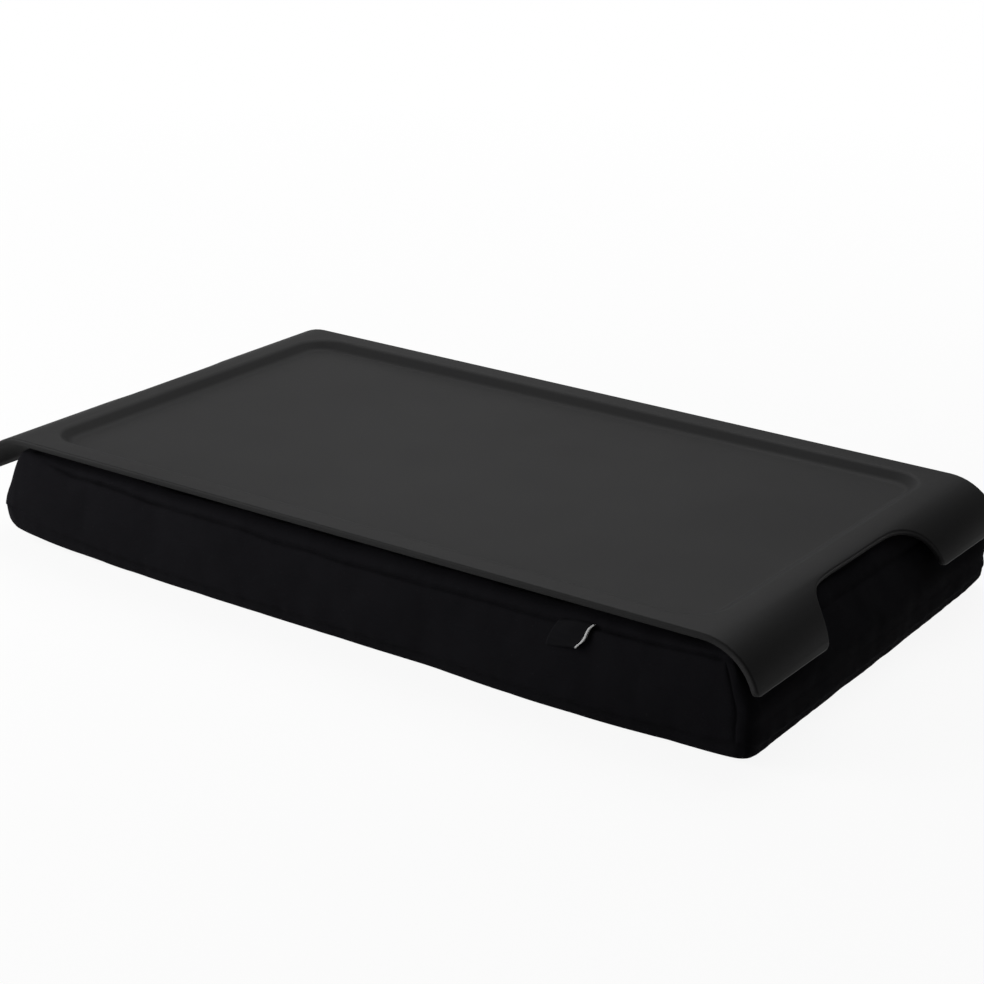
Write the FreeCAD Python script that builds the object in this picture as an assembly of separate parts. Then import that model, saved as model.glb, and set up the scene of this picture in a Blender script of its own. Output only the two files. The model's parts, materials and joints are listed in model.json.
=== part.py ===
import FreeCAD, Part
import math
import os

from FreeCAD import Vector

# Lap tray on a boxed, bead-filled cushion. Millimetres.
# +X runs along the long side, +Y away from the user, +Z up.
# The origin is under the middle of the tray, on the surface that the cushion lies on.

# ---- tray: one moulded sheet ----
tray_length = 430.0
tray_width = 236.0
sheet = 2.8
crest_z = 52.0  # top of the rim round the recess
recess_depth = 4.5
crest_half_x = 183.5
crest_half_y = 105.7
slope_run = 5.5  # how far the recess wall comes in from crest to floor
crest_corner = 17.5
crest_round = 5.0
floor_round = 6.0
edge_round = 1.0

# ---- end wings, which turn down and are the handles ----
wing_radius = 28.0  # outside of the bend
wing_angle = math.radians(76.0)
bend_start_x = tray_length / 2 - wing_radius * math.sin(wing_angle)
ear_outer_corner = 3.0
ear_inner_corner = 4.0

# Half of the cut-out's edge: (distance from the middle, arc length down the bend).
cut_edge = [
    (0.0, 9.6),
    (28.0, 9.6),
    (38.5, 11.0),
    (46.5, 15.4),
    (51.4, 22.0),
    (54.6, 30.0),
    (57.2, 42.0),
]

# ---- cushion: a boxed cover, stuck on a little to the right ----
cushion_x = 6.5
cushion_half_x = 205.5
cushion_half_y = 118.8
cushion_corner = 6.0
least_corner = 2.0  # of the layers inside the cover
upright_seam = 7.0  # from an end's face to the seam where the end panel stops
bottom_seam_z = 6.0
top_seam_z = 39.0
cover_top_z = 42.3
# (height, how far the skin is in from its widest along X, and along Y)
skin_levels = [
    (0.0, 5.2, 2.8),
    (bottom_seam_z, 0.6, 0.0),
    (16.0, 0.0, 0.0),
    (28.0, 2.6, 0.3),
    (top_seam_z, 10.0, 2.6),
    (cover_top_z, 19.5, 13.5),
]
bag_levels = [skin_levels[0], skin_levels[2], skin_levels[3], skin_levels[5]]
cover_cloth = 1.2
liner_gap = 3.4  # the loose inner bag stands in from the cover by this
liner_cloth = 0.6
liner_split_z = 20.0
fill_gap = 0.2

# ---- hook-and-loop strips between tray and cushion ----
strip_width = 30.0
strip_length = 140.0
strip_x = 120.0

# ---- zip in the back of the cover ----
zip_z = 20.0
zip_inset = 0.4  # the cover's back at the zip, in from its widest
slot_half_x = 153.0
slot_half_z = 4.7
tape_half_x = 158.0
tape_outer_z = 7.6  # from the zip's middle line to the outer edge of a tape
tape_cloth = 0.6
tooth_pitch = 3.0
tooth_width = 1.1
tooth_reach = 0.9  # each row's teeth pass the middle line by this
row_edge = 2.6
row_height = 1.8
row_start = -146.6
row_count = 97
first_tooth = 0.2  # from the row's start
stop_clearance = 0.4
stop_length = 2.0
stop_bevel = 0.4

slider_length = 9.0
slider_width = 8.6
slider_nose_x = 150.0
shoulder_length = 4.0  # from the nose to where the slider starts to narrow
tail_narrower = 0.5  # on each side
nose_bevel_x = 0.8
nose_bevel_z = 1.0
plate = 0.8
plate_gap = 0.3  # from the teeth to the slider's plates
flange = 0.8
flange_from_tail = 1.0
flange_from_nose = 2.5
tape_slot = 1.1
diamond_length = 3.0
diamond_width = 1.5
arch_length = 7.0
arch_width = 1.6
arch_room = 1.7
arch_bar = 0.6
arch_round = 1.6
arch_room_round = 1.0
pull_bar = 0.5
pull_length = 21.0
pull_width = 5.6
pull_sheet = 0.8
pull_window = 5.2
pull_arm = 0.9
pull_end_round = 2.4
pull_hole = 1.3  # radius
pull_hole_from_end = 3.4

# ---- blank folded label in the front seam ----
label_x = 125.0
label_width = 22.0
label_drop = 9.8  # below the seam
label_cloth = 0.9  # both layers of the ribbon
label_stand = 0.25  # from the cover's front to the hanging part
label_tuck = 0.9  # how far it goes into the seam
label_bend = 4.4  # below the seam, where it hangs straight

# ---- workshop values, which aren't sizes of the object ----
origin = Vector(0, 0, 0)
beyond = 5.0  # how far a cutting block goes past what it cuts
meet = 0.1  # how far two shapes run into each other where they are joined
near = 0.01  # two places closer than this are the same


def box(low, high):
    size = Vector(*high).sub(Vector(*low))
    return Part.makeBox(size.x, size.y, size.z, Vector(*low))


def mirrored_x(shape):
    return shape.mirror(origin, Vector(1, 0, 0))


def rounded_rectangle(half_x, half_y, corner, z, centre_x=0.0):
    """Closed wire of four sides and four quarter circles."""
    edges = []
    arc_x = half_x - corner
    arc_y = half_y - corner
    corners = [(arc_x, arc_y), (-arc_x, arc_y), (-arc_x, -arc_y), (arc_x, -arc_y)]
    for quarter in range(4):
        here = corners[quarter]
        after = corners[(quarter + 1) % 4]
        start = math.radians(90 * quarter)
        turn = [start, start + math.pi / 4, start + math.pi / 2]
        points = [
            Vector(
                centre_x + here[0] + corner * math.cos(angle),
                here[1] + corner * math.sin(angle),
                z,
            )
            for angle in turn
        ]
        edges.append(Part.Arc(*points).toShape())
        last = Vector(
            centre_x + after[0] + corner * math.cos(turn[2]),
            after[1] + corner * math.sin(turn[2]),
            z,
        )
        edges.append(Part.makeLine(points[2], last))
    return Part.Wire(edges)


def tapered_block(lower, upper):
    """Solid between two rounded rectangles, each (half_x, half_y, corner, z)."""
    wires = [rounded_rectangle(*lower), rounded_rectangle(*upper)]
    return Part.makeLoft(wires, True, True)


# ------------------------------------------------------------------ tray


def wing_point(arc, y, radius):
    """Point on the right wing's bend, at an arc length measured on its outside."""
    angle = arc / wing_radius
    centre_z = crest_z - wing_radius
    return Vector(
        bend_start_x + radius * math.sin(angle),
        y,
        centre_z + radius * math.cos(angle),
    )


def bent_sheet():
    """The sheet's side profile, wings turned down, drawn out across the width."""
    end = wing_radius * wing_angle
    inner_radius = wing_radius - sheet
    y = -tray_width / 2

    def flipped(point):
        return Vector(-point.x, point.y, point.z)

    outer = [wing_point(part * end, y, wing_radius) for part in (0, 0.5, 1)]
    inner = [wing_point(part * end, y, inner_radius) for part in (0, 0.5, 1)]
    edges = [
        Part.makeLine(flipped(outer[0]), outer[0]),
        Part.Arc(outer[0], outer[1], outer[2]).toShape(),
        Part.makeLine(outer[2], inner[2]),
        Part.Arc(inner[2], inner[1], inner[0]).toShape(),
        Part.makeLine(inner[0], flipped(inner[0])),
        Part.Arc(flipped(inner[0]), flipped(inner[1]), flipped(inner[2])).toShape(),
        Part.makeLine(flipped(inner[2]), flipped(outer[2])),
        Part.Arc(flipped(outer[2]), flipped(outer[1]), flipped(outer[0])).toShape(),
    ]
    return Part.Face(Part.Wire(edges)).extrude(Vector(0, tray_width, 0))


def recess_tool():
    """What the recess takes away: a shallow pan with sloping walls."""
    floor_z = crest_z - recess_depth
    rise = 1.0  # it goes on past the crest
    grow = slope_run * rise / recess_depth
    lower = (
        crest_half_x - slope_run,
        crest_half_y - slope_run,
        crest_corner - slope_run,
        floor_z,
    )
    upper = (
        crest_half_x + grow,
        crest_half_y + grow,
        crest_corner + grow,
        crest_z + rise,
    )
    pan = tapered_block(lower, upper)
    return pan.makeFillet(floor_round, level_edges(pan, floor_z))


def pan_underside():
    """The recess seen from below, one sheet thickness outside the pan."""
    slope = math.atan2(recess_depth, slope_run)
    side_step = sheet / math.sin(slope)
    drop_in = slope_run * sheet / recess_depth
    low_z = crest_z - recess_depth - sheet
    high_z = crest_z - sheet
    low_grow = side_step - drop_in - slope_run
    high_grow = side_step - drop_in
    lower = (
        crest_half_x + low_grow,
        crest_half_y + low_grow,
        crest_corner + low_grow,
        low_z,
    )
    upper = (
        crest_half_x + high_grow,
        crest_half_y + high_grow,
        crest_corner + high_grow,
        high_z + meet,
    )
    block = tapered_block(lower, upper)
    return block.makeFillet(floor_round + sheet, level_edges(block, low_z))


def level_edges(shape, z):
    """The edges that lie all along in the plane at height z."""
    return [
        edge
        for edge in shape.Edges
        if abs(edge.BoundBox.ZMin - z) < near and abs(edge.BoundBox.ZMax - z) < near
    ]


def cut_out_surface():
    """Surface square to the bent sheet along the edge of the right cut-out."""
    right_half = list(cut_edge)
    left_half = [(-y, arc) for y, arc in reversed(cut_edge[1:])]
    outline = left_half + right_half
    curves = []
    for radius in (wing_radius - 2 * sheet, wing_radius + sheet):
        curve = Part.BSplineCurve()
        curve.interpolate([wing_point(arc, y, radius) for y, arc in outline])
        curves.append(curve.toShape())
    return Part.makeRuledSurface(curves[0], curves[1])


def largest_solid(shape):
    return max(shape.Solids, key=lambda solid: solid.Volume)


def across_sheet(edge):
    """A short edge that runs through the thickness of the sheet."""
    return abs(edge.Length - sheet) < sheet / 20


def wing_corner_edges(shape, inner):
    """The edges through the sheet at the ends of a wing's ears."""
    end_x = wing_point(wing_radius * wing_angle, 0, wing_radius - sheet).x
    found = []
    for edge in shape.Edges:
        middle = edge.BoundBox.Center
        at_side = abs(abs(middle.y) - tray_width / 2) < near
        if across_sheet(edge) and abs(middle.x) > end_x - near and at_side != inner:
            found.append(edge)
    return found


def rim_edges(shape):
    """The sharp edges that bound the sheet's upper side, on its flat and on its bends."""
    found = []
    for edge in shape.Edges:
        point = edge.valueAt((edge.FirstParameter + edge.LastParameter) / 2)
        out = abs(point.x) - bend_start_x
        if out > 0:
            off = math.hypot(out, point.z - crest_z + wing_radius) - wing_radius
        else:
            off = point.z - crest_z
        at_rim = out > 0 or abs(point.y) > tray_width / 2 - near
        faces = shape.ancestorsOfType(edge, Part.Face)
        if abs(off) > near or not at_rim or len(faces) != 2:
            continue
        normals = []
        for face in faces:
            u, v = face.Surface.parameter(point)
            normals.append(face.normalAt(u, v))
        if abs(normals[0].dot(normals[1])) < 0.5:
            found.append(edge)
    return found


def tray_shell():
    tray = bent_sheet().fuse(pan_underside()).cut(recess_tool())
    tray = tray.removeSplitter()
    crest = [
        edge
        for edge in level_edges(tray, crest_z)
        if abs(edge.BoundBox.Center.y) < tray_width / 2 - 1
        and edge.BoundBox.XMax < bend_start_x - 1
        and edge.BoundBox.XMin > -bend_start_x + 1
    ]
    tray = tray.makeFillet(crest_round, crest)
    cut = cut_out_surface()
    pieces, _ = tray.generalFuse([cut, mirrored_x(cut)])
    tray = largest_solid(pieces)
    tray = tray.makeFillet(ear_outer_corner, wing_corner_edges(tray, False))
    tray = tray.makeFillet(ear_inner_corner, wing_corner_edges(tray, True))
    return tray.makeFillet(edge_round, rim_edges(tray))


# ------------------------------------------------------------------ cushion


def skin(levels, inset, low_z, high_z):
    """A closed cushion form, taken in all round by an inset."""
    wires = []
    corner = max(cushion_corner - inset, least_corner)
    for height, in_x, in_y in levels:
        z = min(max(height, low_z), high_z)
        half_x = cushion_half_x - in_x - inset
        half_y = cushion_half_y - in_y - inset
        wires.append(rounded_rectangle(half_x, half_y, corner, z, cushion_x))
    return Part.makeLoft(wires, True, True)


def layer(low_z, high_z):
    """Everything between two heights."""
    reach = tray_length
    return box((-reach, -reach, low_z), (reach, reach, high_z))


def between_upright_seams():
    """The stretch of the front and the back panel; its ends lean in as the cushion does."""
    reach = 2 * cushion_half_y
    wires = []
    for height, in_x, _ in skin_levels:
        half_x = cushion_half_x - in_x - upright_seam
        corners = [(-half_x, -reach), (half_x, -reach), (half_x, reach), (-half_x, reach)]
        points = [Vector(cushion_x + x, y, height) for x, y in corners]
        wires.append(Part.makePolygon(points + points[:1]))
    return Part.makeLoft(wires, True, True)


def cover_panels():
    """The cover as the cloth panels that are sewn together at the seams."""
    cloth = skin(skin_levels, 0.0, 0.0, cover_top_z)
    room = skin(skin_levels, cover_cloth, cover_cloth, cover_top_z - cover_cloth)
    shell = cloth.cut(room)
    top = shell.common(layer(top_seam_z, cover_top_z + beyond))
    bottom = shell.common(layer(-beyond, bottom_seam_z))
    band = shell.common(layer(bottom_seam_z, top_seam_z))
    middle = between_upright_seams()
    long_sides = sorted(band.common(middle).Solids, key=lambda solid: solid.CenterOfMass.y)
    ends = sorted(band.cut(middle).Solids, key=lambda solid: solid.CenterOfMass.x)
    slot = box(
        (cushion_x - slot_half_x, 0, zip_z - slot_half_z),
        (cushion_x + slot_half_x, 2 * cushion_half_y, zip_z + slot_half_z),
    )
    back = long_sides[-1].cut(slot)
    panels = {
        "top_panel": top,
        "bottom_panel": bottom,
        "front_panel": long_sides[0],
        "left_panel": ends[0],
        "right_panel": ends[-1],
        "back_panel_upper": back.common(layer(zip_z, top_seam_z)),
        "back_panel_lower": back.common(layer(bottom_seam_z, zip_z)),
    }
    return {name: largest_solid(panel) for name, panel in panels.items()}


def liner_halves():
    """The inner bag that holds the filling, as its two halves."""
    inset = cover_cloth + liner_gap
    low_z = cover_cloth
    high_z = cover_top_z - cover_cloth
    bag = skin(bag_levels, inset, low_z, high_z)
    room = skin(
        bag_levels, inset + liner_cloth, low_z + liner_cloth, high_z - liner_cloth
    )
    bag = bag.cut(room)
    return {
        "liner_lower": largest_solid(bag.common(layer(-beyond, liner_split_z))),
        "liner_upper": largest_solid(bag.common(layer(liner_split_z, cover_top_z))),
    }


def bead_fill():
    inset = cover_cloth + liner_gap + liner_cloth + fill_gap
    edge = cover_cloth + liner_cloth
    return skin(bag_levels, inset, edge, cover_top_z - edge)


def strips():
    """Two hook strips under the tray, and the loop strips on the cushion below them."""
    tray_under_z = crest_z - recess_depth - sheet
    meet_z = (cover_top_z + tray_under_z) / 2
    found = {}
    for side, sign in (("left", -1), ("right", 1)):
        low_x = sign * strip_x - strip_width / 2
        high_x = sign * strip_x + strip_width / 2
        for name, low_z, high_z in (
            ("loop", cover_top_z, meet_z),
            ("hook", meet_z, tray_under_z),
        ):
            found[name + "_strip_" + side] = box(
                (low_x, -strip_length / 2, low_z), (high_x, strip_length / 2, high_z)
            )
    return found


def label():
    """Folded loop of ribbon, caught in the top front seam and hanging down."""
    seam_in = dict((height, in_y) for height, _, in_y in skin_levels)[top_seam_z]
    seam_y = -(cushion_half_y - seam_in)
    back_y = -(cushion_half_y + label_stand)
    front_y = back_y - label_cloth
    fold_z = top_seam_z - label_drop
    straight_z = fold_z + label_cloth / 2
    bend_z = top_seam_z - label_bend
    above_seam_z = top_seam_z + label_cloth
    behind = [
        Vector(0, seam_y + label_tuck, top_seam_z),
        Vector(0, seam_y, top_seam_z),
        Vector(0, back_y, bend_z),
        Vector(0, back_y, straight_z),
    ]
    before = [
        Vector(0, front_y, straight_z),
        Vector(0, front_y, bend_z),
        Vector(0, seam_y, above_seam_z),
        Vector(0, seam_y + label_tuck, above_seam_z),
    ]
    fold_middle = Vector(0, (back_y + front_y) / 2, fold_z)
    edges = [Part.makeLine(a, b) for a, b in zip(behind, behind[1:])]
    edges.append(Part.Arc(behind[-1], fold_middle, before[0]).toShape())
    edges += [Part.makeLine(a, b) for a, b in zip(before, before[1:])]
    edges.append(Part.makeLine(before[-1], behind[0]))
    ribbon = Part.Face(Part.Wire(edges)).extrude(Vector(label_width, 0, 0))
    ribbon.translate(Vector(label_x - label_width / 2, 0, 0))
    return ribbon


# ------------------------------------------------------------------ zip


def zip_place(shape):
    """From the zip's own frame (X along it, Y out of the cover) to the cushion."""
    cover_inside_y = cushion_half_y - zip_inset - cover_cloth
    shape.translate(Vector(cushion_x, cover_inside_y - tape_cloth / 2, zip_z))
    return shape


def across(shape):
    """The lower half of the zip, from the upper half."""
    return shape.mirror(origin, Vector(0, 0, 1))


def tape():
    return box(
        (-tape_half_x, -tape_cloth / 2, row_edge),
        (tape_half_x, tape_cloth / 2, tape_outer_z),
    )


def tooth_row(first_x):
    """One row of teeth, whose heads pass the middle line to lock with the other row."""
    start = row_start
    end = row_start + row_count * tooth_pitch
    points = [Vector(start, 0, row_edge), Vector(start, 0, tooth_reach)]
    for number in range(row_count):
        left = first_x + number * tooth_pitch
        right = left + tooth_width
        for x, z in (
            (left, tooth_reach),
            (left, -tooth_reach),
            (right, -tooth_reach),
            (right, tooth_reach),
        ):
            points.append(Vector(x, 0, z))
    points += [Vector(end, 0, tooth_reach), Vector(end, 0, row_edge)]
    face = Part.Face(Part.makePolygon(points + points[:1]))
    face.translate(Vector(0, -row_height / 2, 0))
    return face.extrude(Vector(0, row_height, 0))


def stop(low_x, low_z, high_z):
    half = row_height / 2
    block = box((low_x, -half, low_z), (low_x + stop_length, half, high_z))
    upright = [edge for edge in block.Edges if edge.BoundBox.YLength > half]
    return block.makeChamfer(stop_bevel, upright)


def prism(outline, low_y, high_y):
    """Straight solid between two values of Y, over an outline of (x, z)."""
    points = [Vector(x, low_y, z) for x, z in outline]
    face = Part.Face(Part.makePolygon(points + points[:1]))
    return face.extrude(Vector(0, high_y - low_y, 0))


def slider_plate(low_y):
    """One plate of the slider: wide shoulders at the nose, narrower at the tail."""
    nose = slider_nose_x
    half = slider_width / 2
    upper = [
        (nose - slider_length, half - tail_narrower),
        (nose - shoulder_length, half),
        (nose - nose_bevel_x, half),
        (nose, half - nose_bevel_z),
    ]
    lower = [(x, -z) for x, z in reversed(upper)]
    return prism(upper + lower, low_y, low_y + plate)


def slider_flange(low_y, high_y):
    """The turned-in side of a plate, which keeps the teeth in the slider."""
    outer_z = slider_width / 2 - tail_narrower
    return box(
        (slider_nose_x - slider_length + flange_from_tail, low_y, outer_z - flange),
        (slider_nose_x - flange_from_nose, high_y, outer_z),
    )


def diamond():
    """The post at the nose that joins the two plates and parts the rows."""
    nose = slider_nose_x
    half = diamond_width / 2
    widest = nose - diamond_length / 2
    outline = [
        (nose - diamond_length, 0),
        (widest, half),
        (nose, half / 2),
        (nose, -half / 2),
        (widest, -half),
    ]
    reach = row_height / 2 + plate_gap + meet
    return prism(outline, -reach, reach)


def across_edges_above(block, y):
    """The block's edges that run along Z and lie wholly further out than y."""
    return [
        edge
        for edge in block.Edges
        if edge.BoundBox.ZLength > arch_width / 2 and edge.BoundBox.YMin > y
    ]


def slider_arch():
    """The bridge on the outer plate that the pull's bar passes under."""
    start = slider_nose_x - (slider_length + arch_length) / 2
    end = start + arch_length
    plate_y = row_height / 2 + plate_gap + plate
    half = arch_width / 2
    block = box(
        (start, plate_y - meet, -half),
        (end, plate_y + arch_room + arch_bar, half),
    )
    block = block.makeFillet(arch_round, across_edges_above(block, plate_y))
    room = box(
        (start + arch_bar, plate_y - beyond, -beyond),
        (end - arch_bar, plate_y + arch_room, beyond),
    )
    return block.cut(room.makeFillet(arch_room_round, across_edges_above(room, plate_y)))


def zip_slider():
    inner_face = row_height / 2 + plate_gap
    slot = tape_slot / 2
    body = slider_plate(inner_face).fuse(slider_plate(-inner_face - plate))
    for low_y, high_y in ((slot, inner_face + meet), (-inner_face - meet, -slot)):
        wall = slider_flange(low_y, high_y)
        body = body.fuse([wall, across(wall)])
    return body.fuse([diamond(), slider_arch()]).removeSplitter()


def pull_axis():
    """Middle of the pull's bar, in the zip's own frame: (x, y)."""
    top_y = row_height / 2 + plate_gap + plate
    return slider_nose_x - slider_length / 2, top_y + arch_room / 2


def zip_pull():
    """Flat tab with a window at its end, whose bar turns under the arch."""
    axis_x, axis_y = pull_axis()
    end_x = axis_x - pull_length
    half = pull_width / 2
    low_y = axis_y - pull_sheet / 2
    high_y = low_y + pull_sheet
    tab = box((end_x, low_y, -half), (axis_x, high_y, half))
    far = [
        edge
        for edge in tab.Edges
        if edge.BoundBox.YLength > pull_sheet / 2 and edge.BoundBox.XMax < end_x + near
    ]
    tab = tab.makeFillet(pull_end_round, far)
    window = box(
        (axis_x - pull_window, low_y - beyond, -half + pull_arm),
        (axis_x + beyond, high_y + beyond, half - pull_arm),
    )
    hole = Part.makeCylinder(
        pull_hole,
        pull_sheet + 2 * beyond,
        Vector(end_x + pull_hole_from_end, low_y - beyond, 0),
        Vector(0, 1, 0),
    )
    bar = Part.makeCylinder(
        pull_bar, pull_width, Vector(axis_x, axis_y, -half), Vector(0, 0, 1)
    )
    return tab.cut([window, hole]).fuse(bar).removeSplitter()


def zip_parts():
    """The zip, closed, with its slider at the stops."""
    upper = tooth_row(row_start + first_tooth)
    lower = across(tooth_row(row_start + first_tooth + tooth_pitch / 2))
    end_stop = stop(slider_nose_x + stop_clearance, tooth_reach, row_edge)
    start_stop = stop(row_start - stop_length, -row_edge, row_edge)
    parts = {
        "zip_tape_upper": tape(),
        "zip_tape_lower": across(tape()),
        "zip_teeth_upper": upper,
        "zip_teeth_lower": lower,
        "zip_end_stops": Part.makeCompound([end_stop, across(end_stop)]),
        "zip_start_stop": start_stop,
        "zip_slider": zip_slider(),
        "zip_pull": zip_pull(),
    }
    return {name: zip_place(shape) for name, shape in parts.items()}


def main():
    nodes = {"tray_shell": tray_shell(), "bead_fill": bead_fill(), "label": label()}
    nodes.update(cover_panels())
    nodes.update(liner_halves())
    nodes.update(strips())
    nodes.update(zip_parts())
    os.makedirs("parts", exist_ok=True)
    for name, shape in sorted(nodes.items()):
        sound = "sound" if shape.isValid() else "NOT VALID"
        print(name, len(shape.Solids), round(shape.Volume, 1), sound)
        shape.exportStep("parts/" + name + ".step")


main()
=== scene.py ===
import json
import math

import bpy
import numpy as np
from mathutils import Matrix, Vector, noise
from mathutils.kdtree import KDTree


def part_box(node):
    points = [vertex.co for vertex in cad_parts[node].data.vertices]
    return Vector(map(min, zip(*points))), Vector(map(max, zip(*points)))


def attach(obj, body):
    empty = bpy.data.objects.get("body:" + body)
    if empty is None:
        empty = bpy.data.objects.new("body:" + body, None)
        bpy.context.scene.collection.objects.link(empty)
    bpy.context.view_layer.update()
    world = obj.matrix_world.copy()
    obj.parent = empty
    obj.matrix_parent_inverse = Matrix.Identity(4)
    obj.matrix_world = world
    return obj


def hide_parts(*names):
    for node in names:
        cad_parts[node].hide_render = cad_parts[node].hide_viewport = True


# Lap tray on a bead-filled cushion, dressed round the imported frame. Metres.
# Lengths that read better in millimetres are multiplied by MM.
MM = 0.001

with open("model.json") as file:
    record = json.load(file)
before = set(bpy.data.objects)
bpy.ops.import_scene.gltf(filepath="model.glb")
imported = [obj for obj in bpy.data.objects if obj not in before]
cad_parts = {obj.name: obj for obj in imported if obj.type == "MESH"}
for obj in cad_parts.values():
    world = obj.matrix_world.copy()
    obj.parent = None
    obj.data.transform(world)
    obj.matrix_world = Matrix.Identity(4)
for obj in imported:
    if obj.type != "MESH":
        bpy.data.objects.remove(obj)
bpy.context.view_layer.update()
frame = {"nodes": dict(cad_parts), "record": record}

CREST_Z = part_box("tray_shell")[1].z
SHEET = 2.8 * MM


def union_box(names):
    """Low and high corner of the box round some CAD nodes."""
    boxes = [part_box(name) for name in names]
    low = Vector([min(b[0][axis] for b in boxes) for axis in range(3)])
    high = Vector([max(b[1][axis] for b in boxes) for axis in range(3)])
    return low, high


COVER_NODES = [
    "top_panel",
    "bottom_panel",
    "front_panel",
    "left_panel",
    "right_panel",
    "back_panel_upper",
    "back_panel_lower",
]
cover_low, cover_high = union_box(COVER_NODES)
COVER_X = (cover_low.x + cover_high.x) / 2
HALF_X = (cover_high.x - cover_low.x) / 2
HALF_Y = (cover_high.y - cover_low.y) / 2
BOTTOM_SEAM_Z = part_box("bottom_panel")[1].z
TOP_SEAM_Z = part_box("top_panel")[0].z

# ------------------------------------------------------------------ helpers


def smoothstep(low, high, value):
    """0 at low, 1 at high, and an even curve between; low may be the larger."""
    t = np.clip((value - low) / (high - low), 0.0, 1.0)
    return t * t * (3 - 2 * t)


def spaced(stops, step):
    """Places from the first stop to the last, through each, about a step apart."""
    places = [stops[0]]
    for start, end in zip(stops, stops[1:]):
        count = max(1, round((end - start) / step))
        places += [start + (end - start) * k / count for k in range(1, count + 1)]
    return places


def new_mesh_object(name, points, faces, material):
    mesh = bpy.data.meshes.new(name)
    mesh.from_pydata([tuple(p) for p in points], [], faces)
    mesh.polygons.foreach_set("use_smooth", [True] * len(mesh.polygons))
    mesh.update()
    thing = bpy.data.objects.new(name, mesh)
    bpy.context.scene.collection.objects.link(thing)
    mesh.materials.append(material)
    return thing


def coordinates(thing):
    flat = np.empty(len(thing.data.vertices) * 3)
    thing.data.vertices.foreach_get("co", flat)
    return flat.reshape(-1, 3)


def set_coordinates(thing, points):
    thing.data.vertices.foreach_set("co", np.asarray(points).reshape(-1))
    thing.data.update()


# ------------------------------------------------------------------ materials

PAINTED_SEAM_SHADE_LAYER = "painted_seam_shade"  # painted shade along the seams, on the cover's vertices: 1 in a seam, 0 away from it


class Nodes:
    """Shorthand for building one material's node tree."""

    def __init__(self, name):
        self.material = bpy.data.materials.new(name)
        self.material.use_nodes = True
        self.tree = self.material.node_tree
        self.tree.nodes.clear()
        self.output = self.add("ShaderNodeOutputMaterial")
        self.place = self.add("ShaderNodeTexCoord").outputs["Object"]

    def add(self, kind, **settings):
        node = self.tree.nodes.new(kind)
        for key, value in settings.items():
            setattr(node, key, value)
        return node

    def link(self, source, target):
        self.tree.links.new(source, target)

    def put(self, socket, value):
        if isinstance(value, bpy.types.NodeSocket):
            self.link(value, socket)
        else:
            socket.default_value = value

    def math(self, operation, *values):
        node = self.add("ShaderNodeMath", operation=operation)
        for socket, value in zip(node.inputs, values):
            self.put(socket, value)
        return node.outputs[0]

    def noise(self, scale, detail=2.0, rough=0.5, place=None):
        node = self.add("ShaderNodeTexNoise")
        self.link(place or self.place, node.inputs["Vector"])
        node.inputs["Scale"].default_value = scale
        node.inputs["Detail"].default_value = detail
        node.inputs["Roughness"].default_value = rough
        return node.outputs["Fac"]

    def stretched(self, scale):
        node = self.add("ShaderNodeMapping")
        self.link(self.place, node.inputs["Vector"])
        node.inputs["Scale"].default_value = scale
        return node.outputs["Vector"]

    def ramp(self, value, low, high, out_low, out_high):
        node = self.add("ShaderNodeMapRange")
        for socket, item in zip(node.inputs, (value, low, high, out_low, out_high)):
            self.put(socket, item)
        return node.outputs["Result"]

    def mix_colour(self, amount, first, second):
        node = self.add("ShaderNodeMix", data_type="RGBA")
        self.put(node.inputs["Factor"], amount)
        self.put(node.inputs["A"], first)
        self.put(node.inputs["B"], second)
        return node.outputs["Result"]

    def bump(self, height, painted_rim_shade_and_height, strength=1.0, normal=None):
        node = self.add("ShaderNodeBump")
        self.put(node.inputs["Height"], height)
        node.inputs["Distance"].default_value = painted_rim_shade_and_height
        node.inputs["Strength"].default_value = strength
        if normal is not None:
            self.link(normal, node.inputs["Normal"])
        return node.outputs["Normal"]

    def shader(self, **values):
        node = self.add("ShaderNodeBsdfPrincipled")
        for key, value in values.items():
            self.put(node.inputs[key.replace("_", " ")], value)
        self.link(node.outputs["BSDF"], self.output.inputs["Surface"])
        return node


def rgb(red, green, blue):
    return (red, green, blue, 1.0)


def moulded_plastic():
    """Matte black plastic with a fine spark-eroded grain and faint handling marks."""
    n = Nodes("tray_plastic")
    grain = n.noise(2600.0, 2.0, 0.6)
    cloud = n.noise(9.0, 3.0, 0.55)
    smear = n.noise(14.0, 3.0, 0.5)
    colour = n.mix_colour(cloud, rgb(0.0150, 0.0150, 0.0155), rgb(0.0185, 0.0183, 0.0185))
    rough = n.ramp(smear, 0.3, 0.7, 0.55, 0.59)
    n.shader(
        Base_Color=colour,
        Roughness=rough,
        Specular_IOR_Level=0.12,
        Normal=n.bump(grain, 0.05 * MM, 0.55),
    )
    return n.material


def weave_height(n, pitch):
    """Height of a plain weave, run along whichever two axes lie in the surface."""
    turns = 2 * math.pi / pitch
    place = n.add("ShaderNodeSeparateXYZ")
    n.link(n.place, place.inputs[0])
    waves = [n.math("SINE", n.math("MULTIPLY", axis, turns)) for axis in place.outputs]
    geometry = n.add("ShaderNodeNewGeometry")
    normal = n.add("ShaderNodeSeparateXYZ")
    n.link(geometry.outputs["True Normal"], normal.inputs[0])
    weights = [n.math("POWER", n.math("ABSOLUTE", axis), 4.0) for axis in normal.outputs]
    pairs = [(1, 2, 0), (0, 2, 1), (0, 1, 2)]
    total = None
    for first, second, across in pairs:
        part = n.math("MULTIPLY", waves[first], waves[second])
        part = n.math("MULTIPLY", part, weights[across])
        total = part if total is None else n.math("ADD", total, part)
    return total


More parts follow.
